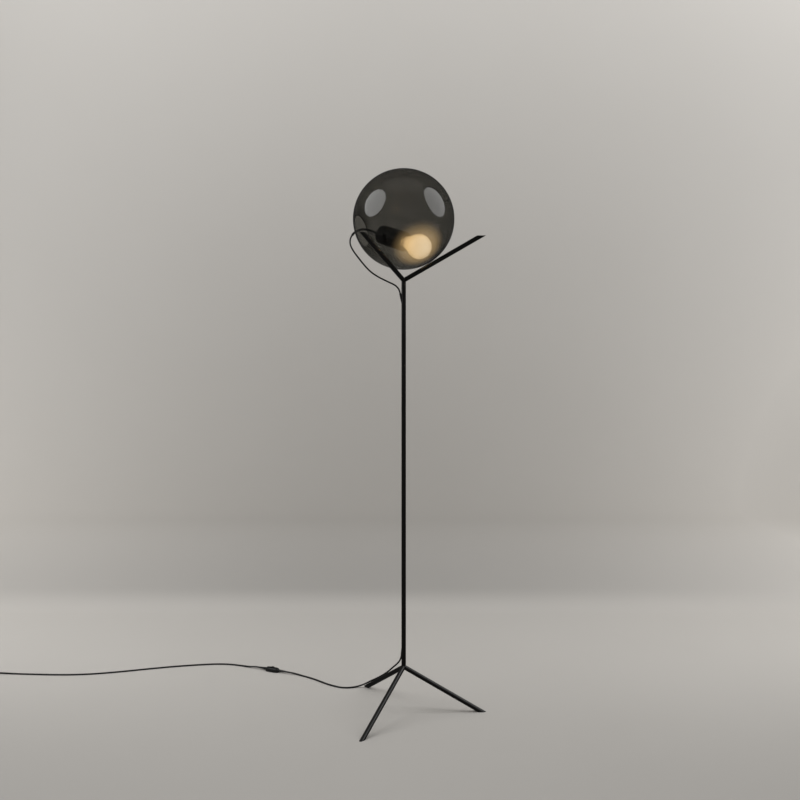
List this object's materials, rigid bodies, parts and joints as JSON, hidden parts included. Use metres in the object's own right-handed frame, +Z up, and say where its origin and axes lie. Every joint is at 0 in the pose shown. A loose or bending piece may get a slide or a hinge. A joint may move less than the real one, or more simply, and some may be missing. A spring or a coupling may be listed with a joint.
{
  "type": "globe floor lamp",
  "caption": "Floor lamp: a thin stem forks into legs below and arms above; a loose smoked-glass globe in the fork holds the bulb on its cord.",
  "frame": {"origin": "on the floor, under the middle of the lamp's box without its cord; the stem's axis is 38.5 mm to -X of it", "axes": "+Z up; +X along the leg and arm that point right; the viewer of the picture stands on the -Y side"},
  "size_m": [1.3727, 0.5019, 1.3275],
  "materials": {
    "frame_steel": "satin black paint",
    "end_rubber": "matt black rubber",
    "smoked_glass": "clear smoked glass, polished",
    "holder_black": "satin black",
    "insert_dark": "dark moulded insert",
    "contact_brass": "satin",
    "contact_steel": "satin",
    "bulb_clear_glass": "clear glass",
    "filament_glow": "glowing filament",
    "cord_black": "matt black sheath",
    "sleeve_black": "matt black sleeve",
    "switch_black": "moulded black plastic",
    "plug_black": "moulded black plastic"
  },
  "bodies": {
    "lamp": {"stem": "frame_steel", "leg_right": "frame_steel", "leg_back": "frame_steel", "leg_front": "frame_steel", "arm_right": "frame_steel", "arm_back": "frame_steel", "arm_front": "frame_steel", "foot_plug_right": "end_rubber", "foot_plug_back": "end_rubber", "foot_plug_front": "end_rubber", "tip_plug_right": "end_rubber", "tip_plug_back": "end_rubber", "tip_plug_front": "end_rubber", "top_gland": "end_rubber", "low_gland": "end_rubber", "holder_shell": "holder_black", "holder_cap": "holder_black", "holder_mouth_ring": "holder_black", "holder_gland": "holder_black", "holder_insert": "insert_dark", "bulb_insulator": "insert_dark", "screw_shell": "contact_brass", "centre_contact": "contact_brass", "bulb_cap": "contact_brass", "switch_contacts": "contact_brass", "terminal_screws": "contact_steel", "bulb_contact": "contact_steel", "rocker_pin": "contact_steel", "filament_supports": "contact_steel", "mains_plug_pins": "contact_steel", "bulb_glass": "bulb_clear_glass", "bulb_stem": "bulb_clear_glass", "filaments": "filament_glow", "hanging_cord": "cord_black", "lead_to_switch": "cord_black", "lead_to_coil": "cord_black", "cord_coil": "cord_black", "stem_cord": "cord_black", "holder_cord": "cord_black", "cord_sleeve": "sleeve_black", "cord_tie": "sleeve_black", "switch_base": "switch_black", "switch_cover": "switch_black", "switch_relief_near": "switch_black", "switch_relief_far": "switch_black", "mains_plug_body": "plug_black", "mains_plug_relief": "plug_black"},
    "globe": {"globe": "smoked_glass"},
    "rocker": {"switch_rocker": "switch_black"}
  },
  "joints": [
    {"name": "globe_turn", "type": "hinge", "parent": "lamp", "child": "globe", "pos_m": [-0.0385, 0, 1.20358], "axis": [0, 0, 1], "range_deg": [-12, 12]},
    {"name": "rocker_tilt", "type": "hinge", "parent": "lamp", "child": "rocker", "pos_m": [-0.3916, 0.2745, 0.0074], "axis": [-0.4147, -0.91, 0], "range_deg": [0, 16]}
  ]
}
